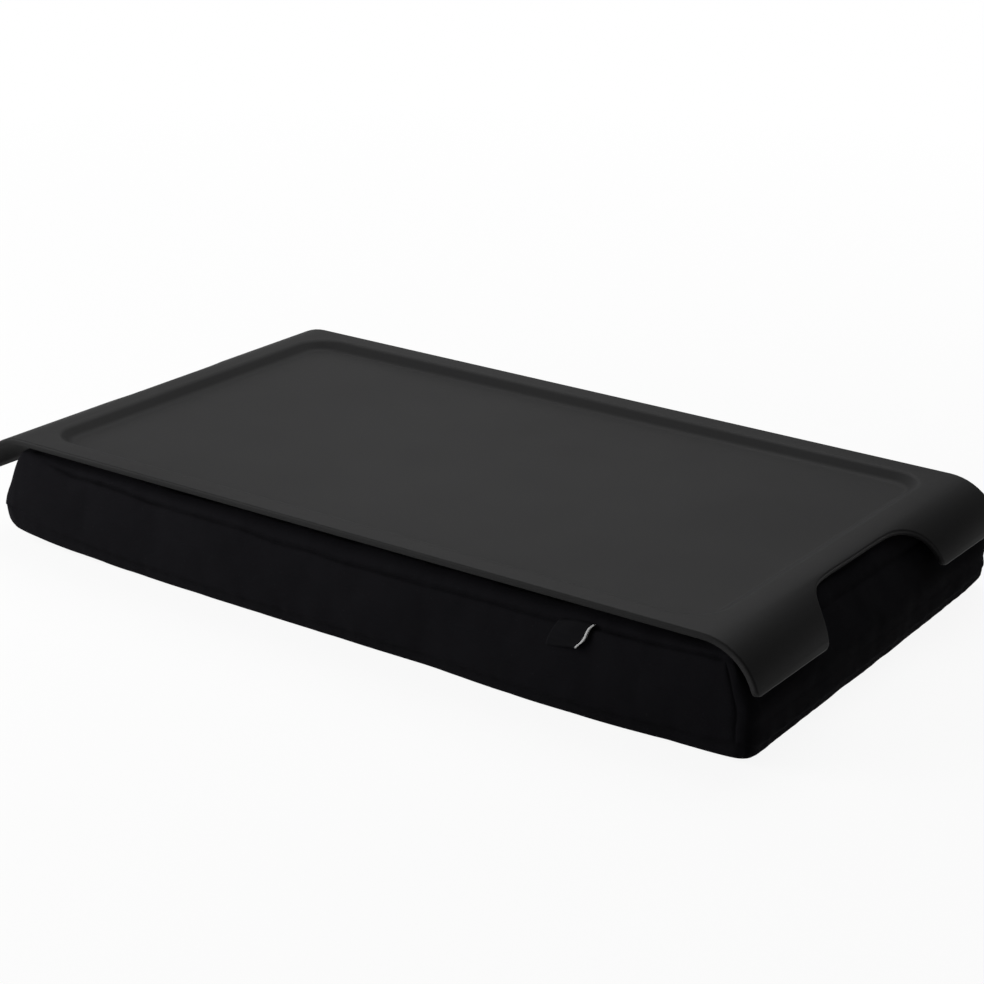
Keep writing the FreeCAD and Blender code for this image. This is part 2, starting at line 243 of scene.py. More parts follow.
def cover_cloth():
    """Dense black polyester weave, a little cooler than the tray, with lint, and painted shade
    along the seams.
    """
    n = Nodes("cover_cloth")
    weave = weave_height(n, 0.62 * MM)
    slub = n.noise(700.0, 3.0, 0.6, n.stretched((1.0, 1.0, 0.35)))
    cloud = n.noise(26.0, 3.0, 0.6)
    lint = n.ramp(n.noise(900.0, 1.0, 0.4), 0.72, 0.80, 0.0, 1.0)
    base = n.mix_colour(cloud, rgb(0.0080, 0.0077, 0.0092), rgb(0.0112, 0.0108, 0.0128))
    base = n.mix_colour(n.math("MULTIPLY", lint, 0.3), base, rgb(0.03, 0.03, 0.033))
    # painted shade: the cloth's colour is darkened along the seams, where their grooves lie
    painted_seam_darkening = n.add("ShaderNodeAttribute", attribute_name=PAINTED_SEAM_SHADE_LAYER).outputs["Fac"]
    colour = n.mix_colour(n.math("MULTIPLY", painted_seam_darkening, 0.65), base, rgb(0.0022, 0.0021, 0.0026))
    height = n.math("ADD", weave, n.math("MULTIPLY", slub, 0.8))
    n.shader(
        Base_Color=colour,
        Roughness=0.9,
        Specular_IOR_Level=0.025,
        Sheen_Weight=0.01,
        Sheen_Roughness=0.45,
        Normal=n.bump(height, 0.08 * MM, 0.7),
    )
    return n.material


def ribbon():
    """Satin-woven black ribbon."""
    n = Nodes("label_ribbon")
    rib = n.noise(400.0, 2.0, 0.5, n.stretched((0.3, 1.0, 6.0)))
    n.shader(
        Base_Color=n.mix_colour(rib, rgb(0.0065, 0.0065, 0.0075), rgb(0.0115, 0.0113, 0.013)),
        Roughness=0.8,
        Specular_IOR_Level=0.03,
        Normal=n.bump(rib, 0.05 * MM, 0.6),
    )
    return n.material


def thread(name, dark, light):
    """Twisted sewing thread."""
    n = Nodes(name)
    twist = n.noise(1800.0, 2.0, 0.5, n.stretched((1.0, 1.0, 2.0)))
    n.shader(
        Base_Color=n.mix_colour(twist, dark, light),
        Roughness=0.7,
        Normal=n.bump(twist, 0.05 * MM, 0.8),
    )
    return n.material


def plain_cloth(name, dark, light, pitch, roughness):
    """Plain-woven cloth."""
    n = Nodes(name)
    weave = weave_height(n, pitch)
    cloud = n.noise(60.0, 3.0, 0.6)
    n.shader(
        Base_Color=n.mix_colour(cloud, dark, light),
        Roughness=roughness,
        Normal=n.bump(weave, 0.1 * MM, 0.8),
    )
    return n.material


def hook_tape():
    """Black tape, dense with little plastic hooks."""
    n = Nodes("hook_tape")
    bristle = n.noise(1500.0, 1.0, 0.5)
    n.shader(
        Base_Color=n.mix_colour(bristle, rgb(0.006, 0.006, 0.006), rgb(0.03, 0.03, 0.03)),
        Roughness=0.55,
        Normal=n.bump(bristle, 0.4 * MM, 1.0),
    )
    return n.material


def beads():
    """White polystyrene beads, with painted shade darkening each bead towards its rim."""
    n = Nodes("beads")
    cells = n.add("ShaderNodeTexVoronoi")
    n.link(n.place, cells.inputs["Vector"])
    cells.inputs["Scale"].default_value = 300.0
    painted_rim_shade_and_height = cells.outputs["Distance"]
    n.shader(
        # painted shade: each bead is darker towards its rim, where beads meet; the same value
        # drives the bump
        Base_Color=n.mix_colour(painted_rim_shade_and_height, rgb(0.9, 0.9, 0.9), rgb(0.75, 0.75, 0.74)),
        Roughness=0.6,
        Normal=n.bump(painted_rim_shade_and_height, 1.0 * MM, 1.0),
    )
    return n.material


def coil_plastic():
    """Black plastic of the zip's teeth, with a slight shine."""
    n = Nodes("zip_teeth")
    grain = n.noise(1200.0, 2.0, 0.5)
    n.shader(
        Base_Color=n.mix_colour(grain, rgb(0.012, 0.012, 0.012), rgb(0.022, 0.022, 0.022)),
        Roughness=0.38,
        Normal=n.bump(grain, 0.02 * MM, 0.4),
    )
    return n.material


def lacquered_metal():
    """Black lacquer that has worn a little along its edges."""
    n = Nodes("zip_metal")
    wear = n.noise(500.0, 4.0, 0.6)
    edge = n.add("ShaderNodeNewGeometry").outputs["Pointiness"]
    on_edges = n.ramp(edge, 0.52, 0.6, 0.0, 1.0)
    in_patches = n.ramp(wear, 0.45, 0.6, 0.0, 0.7)
    amount = n.math("MULTIPLY", on_edges, in_patches)
    n.shader(
        Base_Color=n.mix_colour(amount, rgb(0.02, 0.02, 0.021), rgb(0.28, 0.27, 0.26)),
        Roughness=0.36,
        Specular_IOR_Level=0.6,
        Normal=n.bump(wear, 0.02 * MM, 0.3),
    )
    return n.material


def make_materials():
    """Every material by its slot's name, with the sewing thread and the label's pale cut end."""
    return {
        "tray_plastic": moulded_plastic(),
        "cover_cloth": cover_cloth(),
        "label_ribbon": ribbon(),
        "label_pale_cut_end": thread("label_pale_cut_end", rgb(0.5, 0.5, 0.5), rgb(0.8, 0.8, 0.79)),
        "thread": thread("thread", rgb(0.012, 0.012, 0.013), rgb(0.03, 0.03, 0.032)),
        "hook_tape": hook_tape(),
        "loop_tape": plain_cloth(
            "loop_tape", rgb(0.01, 0.01, 0.01), rgb(0.03, 0.03, 0.03), 0.9 * MM, 0.95
        ),
        "liner_cloth": plain_cloth(
            "liner_cloth", rgb(0.72, 0.72, 0.70), rgb(0.8, 0.8, 0.78), 0.8 * MM, 0.85
        ),
        "beads": beads(),
        "zip_tape": plain_cloth(
            "zip_tape", rgb(0.008, 0.008, 0.009), rgb(0.016, 0.016, 0.017), 0.5 * MM, 0.8
        ),
        "zip_teeth": coil_plastic(),
        "zip_metal": lacquered_metal(),
    }


# ------------------------------------------------------------------ CAD nodes

WELD_REACH = 0.002 * MM


def dress_cad_nodes(materials):
    """Every CAD node gets its slot's material."""
    slots = {row["node"]: row["material_slot"] for row in frame["record"]["subparts"]}
    for name, thing in frame["nodes"].items():
        material = materials[slots[name]]
        if not thing.material_slots:
            thing.data.materials.append(material)
        for material_slot in thing.material_slots:
            material_slot.material = material


def smooth_cad_nodes():
    """Each face has vertices of its own: they are joined, so that curves shade smoothly."""
    for thing in frame["nodes"].values():
        weld = thing.modifiers.new("weld", "WELD")
        weld.merge_threshold = WELD_REACH
        thing.data.polygons.foreach_set("use_smooth", [True] * len(thing.data.polygons))


# ------------------------------------------------------------------ cushion

CORNER = 6.0 * MM
COLUMN_STEP = 4.4 * MM
LEVEL_STEP = 3.0 * MM
UPRIGHT_SEAM = 7.0 * MM  # how far from the corner the end panels are sewn on
SEAM_SIDE = 0.9 * MM  # from a seam to the rows of vertices beside it
EDGE_STEPS = [
    0.0,
    1.1 * MM,
    2.6 * MM,
    UPRIGHT_SEAM - SEAM_SIDE,
    UPRIGHT_SEAM,
    UPRIGHT_SEAM + SEAM_SIDE,
    11.5 * MM,
    15.5 * MM,
]
NEARLY = 0.1 * MM  # places nearer than this are the same row

LEAN_REACH = 23.0 * MM  # how much of a long face its end's lean draws along
LEFT_BULGE = 2.0 * MM  # how much fuller the left end is, most at LEFT_BULGE_Z
LEFT_BULGE_Z = 15.0 * MM
LEFT_BULGE_REACH = 5.5 * MM
END_SLUMP = 1.5 * MM  # the filling has run to the front, which is that much longer each way
SLUMP_REACH = 40.0 * MM
FRONT_BOW = 2.2 * MM  # how far the foot of the front bulges out, most at FRONT_BOW_X
FRONT_BOW_X = 112.0 * MM
FRONT_BOW_REACH = 62.0 * MM
FRONT_BOW_DEPTH = 40.0 * MM  # how far back it fades away
FRONT_BOW_FULL_Z = 8.0 * MM
FRONT_BOW_END_Z = 28.0 * MM

# the top seam's wander: it fades downwards, and behind the front it is a slow unevenness
SEAM_WANDER_LOW_Z = 25.0 * MM
SEAM_WANDER = 0.8 * MM
FRONT_SEAM_WANDER = 0.2 * MM
FRONT_RISE_REACH = 30.0 * MM  # how far back the front seam's own rises and dips reach
LEFT_RISE_REACH = 60.0 * MM  # the same within LEFT_RISE_WIDTH of the left end
LEFT_RISE_WIDTH = 30.0 * MM

# the top's crown and the foot's rounding: how far in from their seams they reach
CROWN_REACH = 17.0 * MM
END_CROWN_REACH = 9.0 * MM
CROWN_FULLNESS = 0.85
TOP_SLACK = 0.5 * MM
FOOT_REACH = 2.6 * MM
END_FOOT_REACH = 7.0 * MM
LIFT_TOP_Z = 18.0 * MM  # a corner's lift fades upwards to here
LIFT_UNDERNEATH = 0.55  # share of the lift at the inner edge of the foot's rounding

# the zip's slot in the back
ZIP_Z = (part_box("zip_slider")[0].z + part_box("zip_slider")[1].z) / 2
SLOT_HALF_Z = 4.7 * MM
SLOT_HALF_X = 153.0 * MM
SLOT_FLOOR_Y = 114.4 * MM
SLOT_LIP = 0.5 * MM  # from the slot's edge to its floor
SLOT_SIDE = 0.8 * MM  # from the slot's edge to the rows of vertices outside it
SLOT_END_SIDE = 1.2 * MM

# the room under the tray
STRIP_TOP_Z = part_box("loop_strip_left")[0].z
RECESS_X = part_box("hook_strip_right")[1].x + 47.0 * MM
RECESS_Y = 106.0 * MM
UNDER_RECESS_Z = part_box("hook_strip_left")[1].z - 0.5 * MM
UNDER_RIM_Z = CREST_Z - SHEET - 0.7 * MM
RIM_RISE_X = 8.0 * MM  # how wide the step from one room to the other is
RIM_RISE_Y = 5.0 * MM
STRIP_NEAR = 0.5 * MM  # the top is pressed down this near a strip, and free at STRIP_FAR
STRIP_FAR = 7.0 * MM
MAY_MEET_TRAY_Z = 30.0 * MM


def side_inset_x(z):
    """How far an end face stands in from its widest, by height."""
    heights = np.array([6.0, 11.0, 16.0, 21.0, 25.0, 31.0, 36.0, 39.0, 43.0]) * MM
    insets = np.array([0.0, 0.4, 0.9, 0.3, 1.4, 4.6, 8.0, 10.2, 13.8]) * MM
    return np.interp(z, heights, insets)


def side_inset_y(z):
    """The same for the front and back faces."""
    heights = np.array([6.0, 12.0, 24.0, 30.0, 35.0, 39.0, 43.0]) * MM
    insets = np.array([-1.0, -0.2, 0.3, 0.8, 1.6, 2.8, 4.5]) * MM
    return np.interp(z, heights, insets)


def drawn_in(a, z):
    """Place along X at a height: the ends lean in, and draw the last of the long faces along."""
    share = smoothstep(HALF_X - LEAN_REACH, HALF_X, abs(a))
    inset = side_inset_x(z)
    if a < 0:
        inset -= LEFT_BULGE * math.exp(-(((z - LEFT_BULGE_Z) / LEFT_BULGE_REACH) ** 2))
    return a - math.copysign(1.0, a) * inset * share


# the turns of the top front seam, in millimetres: place along X, rise above the plain height
FRONT_SEAM_TURNS = [
    (-200, 6.3),
    (-186, 5.4),
    (-172, 3.0),
    (-162, 1.0),
    (-150, 1.4),
    (-132, 0.7),
    (-114, -1.0),
    (-58, -0.9),
    (-40, -2.4),
    (-16, -2.0),
    (0, -3.0),
    (27, -2.4),
    (80, -1.4),
    (112, -1.2),
    (121, 0.6),
    (157, 1.2),
    (180, 3.0),
]


def front_seam_rise(x):
    places, rises = np.array(FRONT_SEAM_TURNS).T * MM
    return np.interp(x, places, rises)


def plan_point(a, b, half_x, half_y, corner):
    """A point of a square-cornered outline, moved onto the rounded one, and its normal.

    Every nested outline is rounded in proportion to its size."""
    level = max(abs(a) / half_x, abs(b) / half_y, 1e-9)
    radius = corner * level
    over_x = abs(a) - (level * half_x - radius)
    over_y = abs(b) - (level * half_y - radius)
    sign_x = math.copysign(1.0, a)
    sign_y = math.copysign(1.0, b)
    if over_x <= 0:
        return a, b, 0.0, sign_y
    if over_y <= 0:
        return a, b, sign_x, 0.0
    if over_x >= over_y:
        angle = over_y / radius * math.pi / 4
    else:
        angle = math.pi / 2 - over_x / radius * math.pi / 4
    x = level * half_x - radius + radius * math.cos(angle)
    y = level * half_y - radius + radius * math.sin(angle)
    return sign_x * x, sign_y * y, sign_x * math.cos(angle), sign_y * math.sin(angle)


def inward(x, y, half_x, half_y, corner):
    """Distance in from a rounded outline."""
    over_x = abs(x) - (half_x - corner)
    over_y = abs(y) - (half_y - corner)
    outside = math.hypot(max(over_x, 0.0), max(over_y, 0.0))
    return corner - outside - min(max(over_x, over_y), 0.0)


# for each corner: how far the base lifts there, and how far that reaches along X and Y
CORNER_LIFTS = {
    (-1, -1): (11.0 * MM, 40.0 * MM, 40.0 * MM),
    (1, -1): (3.8 * MM, 32.0 * MM, 4.0 * MM),
    (1, 1): (5.0 * MM, 30.0 * MM, 30.0 * MM),
    (-1, 1): (6.0 * MM, 30.0 * MM, 30.0 * MM),
}


def corner_lift(x, y):
    """The filling doesn't reach the corners, so the base lifts there, most on the left."""
    side = (-1 if x < 0 else 1, -1 if y < 0 else 1)
    most, reach_x, reach_y = CORNER_LIFTS[side]
    gap_x = max(HALF_X - abs(x), 0) / reach_x
    gap_y = max(HALF_Y - abs(y), 0) / reach_y
    return most * math.exp(-math.hypot(gap_x, gap_y))


def panel_wander(x, y, seed):
    """Slow unevenness of sewn cloth, mostly between -1 and 1."""
    slow = noise.noise(Vector((x * 17, y * 17, seed)))
    quick = noise.noise(Vector((x * 55, y * 55, seed + 4.0)))
    return slow + 0.45 * quick


class CushionLattice:
    """The cover as the skin of a box of cells, so that every seam is a row of vertices."""

    def __init__(self):
        slot_ends = [SLOT_HALF_X, SLOT_HALF_X + SLOT_END_SIDE]
        self.columns_x = self.columns(HALF_X, slot_ends)
        self.columns_y = self.columns(HALF_Y, [])
        low = ZIP_Z - SLOT_HALF_Z
        high = ZIP_Z + SLOT_HALF_Z
        stops = [
            BOTTOM_SEAM_Z,
            BOTTOM_SEAM_Z + SEAM_SIDE,
            low - SLOT_SIDE,
            low,
            low + SLOT_LIP,
            high - SLOT_LIP,
            high,
            high + SLOT_SIDE,
            TOP_SEAM_Z - SEAM_SIDE,
            TOP_SEAM_Z,
        ]
        self.levels = spaced(stops, LEVEL_STEP)
        self.size = (
            len(self.columns_x) - 1,
            len(self.columns_y) - 1,
            len(self.levels) - 1,
        )
        self.number = {}
        self.keys = []
        self.build()

    def columns(self, half, extra):
        """Places across the cushion, closer near its edges and through the extra ones."""
        marks = {half - step for step in EDGE_STEPS} | set(extra)
        return spaced(sorted({-mark for mark in marks} | marks), COLUMN_STEP)

    def at(self, key):
        """Number of the vertex at a column, row and level."""
        if key not in self.number:
            self.number[key] = len(self.keys)
            self.keys.append(key)
        return self.number[key]

    def build(self):
        last_x, last_y, last_z = self.size
        faces = []
        for i in range(last_x):
            for j in range(last_y):
                for k, turn in ((0, -1), (last_z, 1)):
                    ring = [(i, j, k), (i + 1, j, k), (i + 1, j + 1, k), (i, j + 1, k)]
                    faces.append([self.at(key) for key in ring[::turn]])
        for k in range(last_z):
            for i in range(last_x):
                for j, turn in ((0, 1), (last_y, -1)):
                    ring = [(i, j, k), (i + 1, j, k), (i + 1, j, k + 1), (i, j, k + 1)]
                    faces.append([self.at(key) for key in ring[::turn]])
            for j in range(last_y):
                for i, turn in ((0, -1), (last_x, 1)):
                    ring = [(i, j, k), (i, j + 1, k), (i, j + 1, k + 1), (i, j, k + 1)]
                    faces.append([self.at(key) for key in ring[::turn]])
        self.faces = faces

    def on_rim(self, key):
        i, j, _ = key
        return i in (0, self.size[0]) or j in (0, self.size[1])

    def place(self, key):
        """Rest place of a vertex of the cover, measured from the cushion's middle."""
        i, j, k = key
        if self.on_rim(key):
            return self.side_place(self.columns_x[i], self.columns_y[j], self.levels[k])
        if k > 0:
            return self.top_place(self.columns_x[i], self.columns_y[j])
        return self.bottom_place(self.columns_x[i], self.columns_y[j])

    def side_place(self, a, b, z):
        x, y, _, ny = plan_point(a, b, HALF_X, HALF_Y, CORNER)
        x = drawn_in(x, z)
        y -= side_inset_y(z) * ny**3
        high = smoothstep(SEAM_WANDER_LOW_Z, TOP_SEAM_Z, z)
        low = 1 - smoothstep(BOTTOM_SEAM_Z, LIFT_TOP_Z, z)
        return x, y, z + self.seam_rise(x, y) * high + corner_lift(x, y) * low

    def seam_rise(self, x, y):
        at_left_end = x < -HALF_X + LEFT_RISE_WIDTH
        reach = LEFT_RISE_REACH if at_left_end else FRONT_RISE_REACH
        front = 1 - smoothstep(-HALF_Y, -HALF_Y + reach, y)
        wander = SEAM_WANDER + (FRONT_SEAM_WANDER - SEAM_WANDER) * front
        return front_seam_rise(x) * front + wander * panel_wander(x, y, 3.0)

    def ring_place(self, a, b, seam_z):
        """Plan place inside a seam's outline, its distance in from it, and its direction."""
        half_x = abs(drawn_in(math.copysign(HALF_X, a), seam_z))
        half_y = HALF_Y - side_inset_y(seam_z)
        x, y, nx, _ = plan_point(
            drawn_in(a, seam_z), b * half_y / HALF_Y, half_x, half_y, CORNER
        )
        return x, y, inward(x, y, half_x, half_y, CORNER), abs(nx)

    def top_place(self, a, b):
        x, y, gap, endwise = self.ring_place(a, b, TOP_SEAM_Z)
        reach = CROWN_REACH + (END_CROWN_REACH - CROWN_REACH) * endwise
        part = min(gap / reach, 1.0)
        rise = (1 - (1 - part) ** 2) ** CROWN_FULLNESS
        start = TOP_SEAM_Z + self.seam_rise(x, y)
        crown = room_above(x + COVER_X, y) - TOP_SLACK * (1 + panel_wander(x, y, 9.0))
        return x, y, start + (crown - start) * rise

    def bottom_place(self, a, b):
        x, y, gap, endwise = self.ring_place(a, b, BOTTOM_SEAM_Z)
        reach = FOOT_REACH + (END_FOOT_REACH - FOOT_REACH) * endwise
        part = min(gap / reach, 1.0)
        fall = 1 - math.sqrt(1 - (1 - part) ** 2)
        lift = corner_lift(x, y) * (LIFT_UNDERNEATH + (1 - LIFT_UNDERNEATH) * fall)
        return x, y, BOTTOM_SEAM_Z * fall + lift

    def points(self):
        """Every vertex's place in the frame, with the front's bow and the slump."""
        rest = np.array([self.place(key) for key in self.keys])
        x, y, z = rest.T
        out = smoothstep(HALF_X - SLUMP_REACH, HALF_X, np.abs(x)) * np.sign(x)
        bow = np.cos(np.clip((x - FRONT_BOW_X) / FRONT_BOW_REACH, -1, 1) * math.pi / 2)
        front = smoothstep(HALF_Y - FRONT_BOW_DEPTH, HALF_Y, -y)
        low = 1 - smoothstep(FRONT_BOW_FULL_Z, FRONT_BOW_END_Z, z)
        rest[:, 1] -= FRONT_BOW * bow * front * low
        rest[:, 0] += COVER_X - END_SLUMP * out * rest[:, 1] / HALF_Y
        return rest


def room_above(x, y):
    """The highest the cover may stand at a place: under strip, recess or rim."""
    rim = max(
        smoothstep(RECESS_X, RECESS_X + RIM_RISE_X, abs(x)),
        smoothstep(RECESS_Y, RECESS_Y + RIM_RISE_Y, abs(y)),
    )
    room = UNDER_RECESS_Z + (UNDER_RIM_Z - UNDER_RECESS_Z) * rim
    for name in ("loop_strip_left", "loop_strip_right"):
        low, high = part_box(name)
        outside = max(low.x - x, x - high.x, low.y - y, y - high.y)
        near = 1 - smoothstep(STRIP_NEAR, STRIP_FAR, outside)
        room = min(room, room + (STRIP_TOP_Z - room) * near)
    return room


# how firmly the cover is held while it swells
FLAT_FREE = 16.0 * MM  # the top and base are free this near their outline
FLAT_HELD = 30.0 * MM  # and fully held this far in
SEAM_HOLD = 0.9
ZIP_HELD = 6.0 * MM  # above and below the zip's middle the back is held this far
ZIP_FREE = 10.0 * MM
ZIP_END_FADE = 16.0 * MM

SWELL_FRAMES = 20
SWELL_MOST = 5.0 * MM
SINK_MOST = 0.7 * MM
EVENING_PASSES = 10
FOLDS_KEPT = 0.35  # share of the simulated small folds that the filling doesn't press out


def held_weights(lattice, rest):
    """How firmly each vertex is held: zip and flats fully, seams almost, side faces not."""
    last_y, last_z = lattice.size[1:]
    weights = np.zeros(len(rest))
    for number, key in enumerate(lattice.keys):
        x = rest[number, 0] - COVER_X
        y = rest[number, 1]
        gap = inward(x, y, HALF_X, HALF_Y, CORNER)
        if not lattice.on_rim(key):
            weights[number] = smoothstep(FLAT_FREE, FLAT_HELD, gap)
        elif key[2] in (0, last_z):
            weights[number] = SEAM_HOLD
        elif key[1] == last_y:
            near_z = 1 - smoothstep(ZIP_HELD, ZIP_FREE, abs(lattice.levels[key[2]] - ZIP_Z))
            near_x = 1 - smoothstep(SLOT_HALF_X, SLOT_HALF_X + ZIP_END_FADE, abs(x))
            weights[number] = near_z * near_x
    return weights


def swell(thing, weights):
    """Cloth simulation: the cover is a little too big for its seams, and is filled."""
    group = thing.vertex_groups.new(name="held")
    for number, weight in enumerate(weights):
        if weight > 0:
            group.add([number], float(weight), "REPLACE")
    cloth = thing.modifiers.new("cloth", "CLOTH")
    settings = cloth.settings
    settings.quality = 6
    settings.mass = 0.25
    settings.tension_stiffness = 22
    settings.compression_stiffness = 22
    settings.shear_stiffness = 8
    settings.bending_stiffness = 0.9
    settings.air_damping = 4
    settings.vertex_group_mass = "held"
    settings.use_pressure = True
    settings.uniform_pressure_force = 4.0
    settings.shrink_min = -0.005
    settings.effector_weights.gravity = 0.0
    cloth.collision_settings.use_collision = False
    cloth.point_cache.frame_start = 1
    cloth.point_cache.frame_end = SWELL_FRAMES
    scene = bpy.context.scene
    for number in range(1, SWELL_FRAMES + 1):
        scene.frame_set(number)
    graph = bpy.context.evaluated_depsgraph_get()
    swollen = coordinates(thing.evaluated_get(graph))
    thing.modifiers.remove(cloth)
    scene.frame_set(1)
    thing.vertex_groups.clear()
    return swollen


def capped(rest, moved, normals, most, most_inward):
    """The moved points, none further than most from its start, nor sunk more than a little."""
    step = moved - rest
    out = np.sum(step * normals, axis=1, keepdims=True)
    step += normals * (np.maximum(out, -most_inward) - out)
    length = np.maximum(np.linalg.norm(step, axis=1, keepdims=True), 1e-9)
    return rest + step * (np.tanh(length / most) * most / length)


def evened(thing, values, passes):
    """Values on the vertices, each drawn towards its neighbours' mean a number of times."""
    count = len(thing.data.edges)
    ends = np.empty(count * 2, dtype=np.int64)
    thing.data.edges.foreach_get("vertices", ends)
    first, second = ends.reshape(-1, 2).T
    degree = np.bincount(ends, minlength=len(values))[:, None]
    for _ in range(passes):
        total = np.zeros_like(values)
        np.add.at(total, first, values[second])
        np.add.at(total, second, values[first])
        values = (values + total / degree) / 2
    return values


def vertex_normals(thing):
    flat = np.empty(len(thing.data.vertices) * 3)
    thing.data.vertices.foreach_get("normal", flat)
    return flat.reshape(-1, 3)


def sewn_rows(lattice):
    """Vertex numbers of the seams: round the top, round the bottom, and up the corners."""
    last_y, last_z = lattice.size[1:]
    rows = {"top": [], "bottom": [], "upright": []}
    for number, key in enumerate(lattice.keys):
        if not lattice.on_rim(key):
            continue
        if key[2] == last_z:
            rows["top"].append(number)
        elif key[2] == 0:
            rows["bottom"].append(number)
        elif key[1] in (0, last_y):
            gap = HALF_X - abs(lattice.columns_x[key[0]])
            if abs(gap - UPRIGHT_SEAM) < NEARLY:
                rows["upright"].append(number)
    return rows


SEAM_DEPTHS = {"top": 1.5 * MM, "bottom": 0.8 * MM, "upright": 0.6 * MM}
# how strongly painted shade darkens each kind of seam
PAINTED_SEAM_SHADES = {"top": 1.0, "bottom": 0.45, "upright": 0.5}
SEAM_CREASE = 0.7
SLACK_START = 45.0 * MM  # the seams slacken from here to SLACK_FULL off the left end
SLACK_FULL = 14.0 * MM
SLACK_LOSS = 0.9  # how much of a seam's depth and painted shade the slack takes
CREASE_LOSS = 0.95
RIGHT_END_START = 18.0 * MM  # the top seam of the right end is shallower, with less painted shade
RIGHT_END_FULL = 13.0 * MM
RIGHT_END_LOSS = 0.6


def slackness(x):
    """1 at the slack left end and 0 along the rest, for a place from the cushion's middle."""
    return smoothstep(-HALF_X + SLACK_START, -HALF_X + SLACK_FULL, x)


def seam_strength(name, point):
    """Seams are pulled less tight at the slack left end, and along the top of the right end; the
    share scales a seam's depth and its painted shade.
    """
    x = point[0] - COVER_X
    right = 0.0
    if name == "top":
        right = smoothstep(HALF_X - RIGHT_END_START, HALF_X - RIGHT_END_FULL, x)
    return 1.0 - SLACK_LOSS * slackness(x) - RIGHT_END_LOSS * right


def cut_zip_slot(lattice, points):
    """Presses the back in along the zip, for its tapes and slider; the slot's vertices."""
    last_y = lattice.size[1]
    slot = []
    for number, key in enumerate(lattice.keys):
        if key[1] != last_y or not lattice.on_rim(key):
            continue
        across = abs(lattice.levels[key[2]] - ZIP_Z)
        along = abs(lattice.columns_x[key[0]])
        if along > SLOT_HALF_X + NEARLY or across > SLOT_HALF_Z + NEARLY:
            continue
        slot.append(number)
        if across < SLOT_HALF_Z - SLOT_LIP + NEARLY and along < SLOT_HALF_X - NEARLY:
            points[number, 1] = SLOT_FLOOR_Y
    return slot


def keep_below_tray(points):
    """Lowers what would reach the tray or its strips, and raises what would pass the floor."""
    for point in points:
        if point[2] > MAY_MEET_TRAY_Z:
            point[2] = min(point[2], room_above(point[0], point[1]))
        point[2] = max(point[2], 0.0)


def cushion_cover(materials):
    """The sewn cover: swollen by its filling, pulled in at the seams and gathered there."""
    lattice = CushionLattice()
    rest = lattice.points()
    cover = new_mesh_object("cushion_cover", rest, lattice.faces, materials["cover_cloth"])
    points = rest.copy()
    normals = vertex_normals(cover)
    swollen = swell(cover, held_weights(lattice, rest))
    points = capped(rest, swollen, normals, SWELL_MOST, SINK_MOST)
    smooth = rest + evened(cover, points - rest, EVENING_PASSES)
    points = smooth + FOLDS_KEPT * (points - smooth)
    set_coordinates(cover, points)
    normals = vertex_normals(cover)
    rows = sewn_rows(lattice)
    for name, depth in SEAM_DEPTHS.items():
        for number in rows[name]:
            points[number] -= normals[number] * depth * seam_strength(name, points[number])
    slot = cut_zip_slot(lattice, points)
    keep_below_tray(points)
    set_coordinates(cover, points)
    crease_rows(cover, [rows["top"], rows["bottom"], rows["upright"], slot])
    subdivide(cover)
    pucker(cover, seam_line(lattice, points, rows))
    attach(cover, "cushion")
    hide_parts(*COVER_NODES)


def subdivide(thing):
    """Replaces the mesh by its subdivision surface."""
    thing.modifiers.new("subdivision", "SUBSURF").levels = 1
    graph = bpy.context.evaluated_depsgraph_get()
    finer = bpy.data.meshes.new_from_object(thing.evaluated_get(graph))
    coarse = thing.data
    thing.modifiers.clear()
    thing.data = finer
    bpy.data.meshes.remove(coarse)
    finer.polygons.foreach_set("use_smooth", [True] * len(finer.polygons))


def seam_line(lattice, points, rows):
    """Places closely along every seam, each with how much painted shade darkens that seam."""
    painted_shade_of = {}
    for name, row in rows.items():
        for number in row:
            painted_shade_of[number] = PAINTED_SEAM_SHADES[name] * seam_strength(name, points[number])
    line = [(points[number], painted_shade) for number, painted_shade in painted_shade_of.items()]
    for face in lattice.faces:
        for first, second in zip(face, face[1:] + face[:1]):
            if first < second and first in painted_shade_of and second in painted_shade_of:
                painted_shade = min(painted_shade_of[first], painted_shade_of[second])
                line += [
                    (points[first] + (points[second] - points[first]) * part, painted_shade)
                    for part in (0.25, 0.5, 0.75)
                ]
    return line


GATHER = 0.32 * MM
GATHER_REACH = 5.5 * MM
DENT = 0.30 * MM
SMALL_DENT = 0.13 * MM
# how far the painted seam shade reaches from a seam
PAINTED_SHADE_REACH = 1.3 * MM
PLAIN_BY_ZIP = 9.0 * MM  # the back has no gathers this near the zip
GATHERED_BY_ZIP = 14.0 * MM
BACK_DEPTH = 12.0 * MM  # what is this near the back's widest counts as the back
FLAT_BASE = 3.0 * MM  # gathers fade to nothing over this much above the floor


